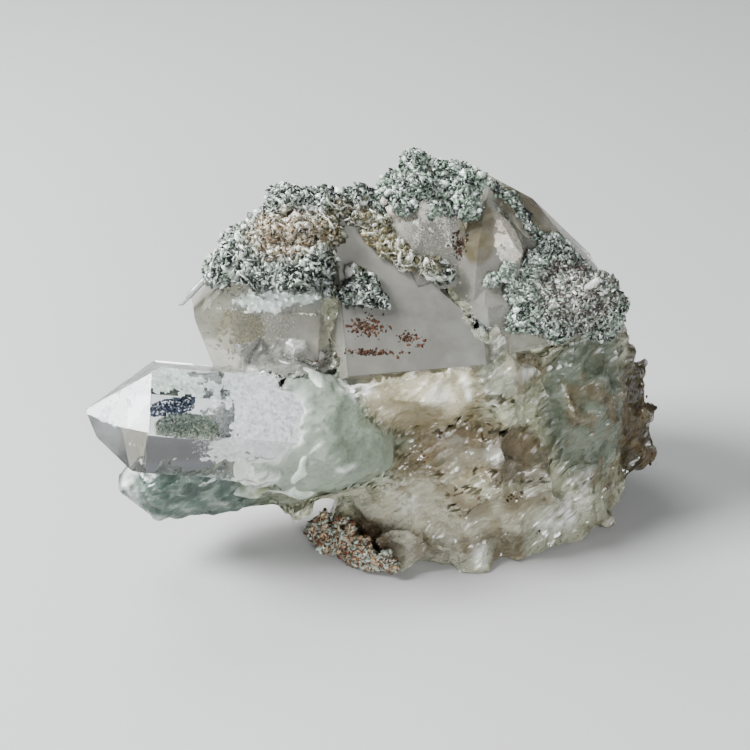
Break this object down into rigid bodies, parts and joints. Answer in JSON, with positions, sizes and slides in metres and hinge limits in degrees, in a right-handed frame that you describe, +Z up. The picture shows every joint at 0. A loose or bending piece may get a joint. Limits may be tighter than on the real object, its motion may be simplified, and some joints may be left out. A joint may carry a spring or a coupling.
{
  "type": "quartz cluster",
  "caption": "Cluster of quartz crystals on a broken quartz base: a clear terminated prism, smoky blocks, and crusts of fine chlorite flakes.",
  "frame": {"origin": "centre of the bounding box, on the surface that the cluster rests on", "axes": "+X from the clear crystal's point on the left to the broken right end as the picture shows it, +Y away from the viewer, +Z up"},
  "size_m": [0.1194, 0.0704, 0.0801],
  "materials": {
    "quartz": "glossy crystal faces, clear to smoky and milky, on satin broken quartz",
    "chlorite": "fine glinting flakes, grey-green with brown stains",
    "rust": "dull rusty crumbs and flakes"
  },
  "bodies": {
    "root": {"quartz": "quartz", "left_crust": "chlorite", "peak_crust": "chlorite", "right_crust": "chlorite", "foot_crust": "rust"}
  },
  "joints": []
}
